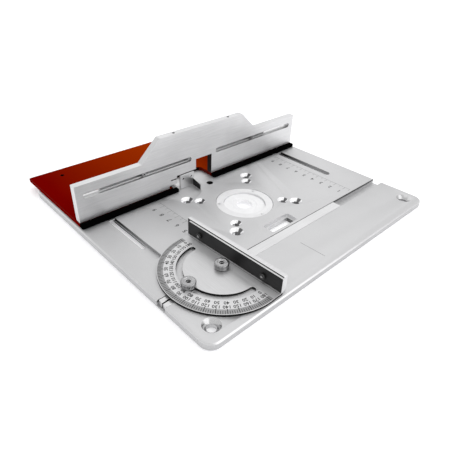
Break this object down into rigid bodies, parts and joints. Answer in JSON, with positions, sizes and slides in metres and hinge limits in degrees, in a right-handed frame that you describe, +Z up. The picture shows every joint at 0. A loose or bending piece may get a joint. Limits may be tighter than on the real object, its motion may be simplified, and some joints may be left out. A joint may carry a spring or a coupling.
{
  "type": "router table",
  "caption": "Router table plate with insert rings, a sliding fence on a red base and a slot-guided miter gauge with a swinging dial.",
  "frame": {"origin": "bottom centre of the whole object's box, on the underside of the table plate", "axes": "+X to the right along the fence and the miter slot, +Y from the plate's front edge towards the fence and the rear, +Z up"},
  "size_m": [0.25, 0.2456, 0.0579],
  "materials": {
    "plate": "bead-blasted, satin clear anodised",
    "face": "brushed along its length, clear anodised",
    "red": "dark red anodised, satin",
    "bright": "bright milled",
    "ring": "milky white, satin",
    "steel": "bright zinc plated",
    "dial": "satin, with dark engraved divisions",
    "nut": "moulded, ribbed"
  },
  "bodies": {
    "table": {"table_plate": "plate", "outer_ring": "ring", "inner_ring": "ring", "ring_screw_1": "steel", "ring_screw_2": "steel", "ring_screw_3": "steel"},
    "fence": {"fence_base": "red", "fence_angle_left": "bright", "fence_angle_right": "bright", "angle_screw_left_1": "steel", "angle_screw_left_2": "steel", "angle_screw_right_1": "steel", "angle_screw_right_2": "steel", "face_screw_left": "steel", "face_screw_right": "steel", "slot_key_left": "bright", "slot_key_right": "bright", "clamp_bolt_left": "steel", "clamp_bolt_right": "steel", "clamp_washer_left": "steel", "clamp_washer_right": "steel", "stop_bracket": "bright", "bracket_screw": "steel"},
    "face": {"fence_face": "face"},
    "nut_left": {"clamp_nut_left": "nut"},
    "nut_right": {"clamp_nut_right": "nut"},
    "gauge_bar": {"miter_bar": "bright", "bar_fit_screw": "steel", "pivot_washer": "steel", "lock_washer": "steel"},
    "gauge_head": {"dial_plate": "dial", "gauge_fence": "plate", "gauge_fence_screw_1": "steel", "gauge_fence_screw_2": "steel"},
    "pivot": {"pivot_screw": "steel"},
    "lock": {"lock_screw": "steel"}
  },
  "joints": [
    {"name": "fence_slide", "type": "slide", "parent": "table", "child": "fence", "axis": [0, 1, 0], "range_m": [-0.05, 0.03]},
    {"name": "face_shift", "type": "slide", "parent": "fence", "child": "face", "axis": [1, 0, 0], "range_m": [-0.037, 0.002]},
    {"name": "nut_left_turn", "type": "hinge", "parent": "fence", "child": "nut_left", "pos_m": [-0.0994, 0.0552, 0.014], "axis": [0, 0, 1], "range_deg": [0, 180]},
    {"name": "nut_right_turn", "type": "hinge", "parent": "fence", "child": "nut_right", "pos_m": [0.0994, 0.0552, 0.014], "axis": [0, 0, 1], "range_deg": [0, 180]},
    {"name": "gauge_slide", "type": "slide", "parent": "table", "child": "gauge_bar", "axis": [1, 0, 0], "range_m": [-0.04, 0.12]},
    {"name": "gauge_swing", "type": "hinge", "parent": "gauge_bar", "child": "gauge_head", "pos_m": [-0.0747, -0.0778, 0.007], "axis": [0, 0, 1], "range_deg": [-88, 84]},
    {"name": "pivot_screw_turn", "type": "hinge", "parent": "gauge_bar", "child": "pivot", "pos_m": [-0.0747, -0.0778, 0.01], "axis": [0, 0, 1], "range_deg": [0, 180]},
    {"name": "lock_screw_turn", "type": "hinge", "parent": "gauge_bar", "child": "lock", "pos_m": [-0.1033, -0.0778, 0.01], "axis": [0, 0, 1], "range_deg": [0, 180]}
  ]
}
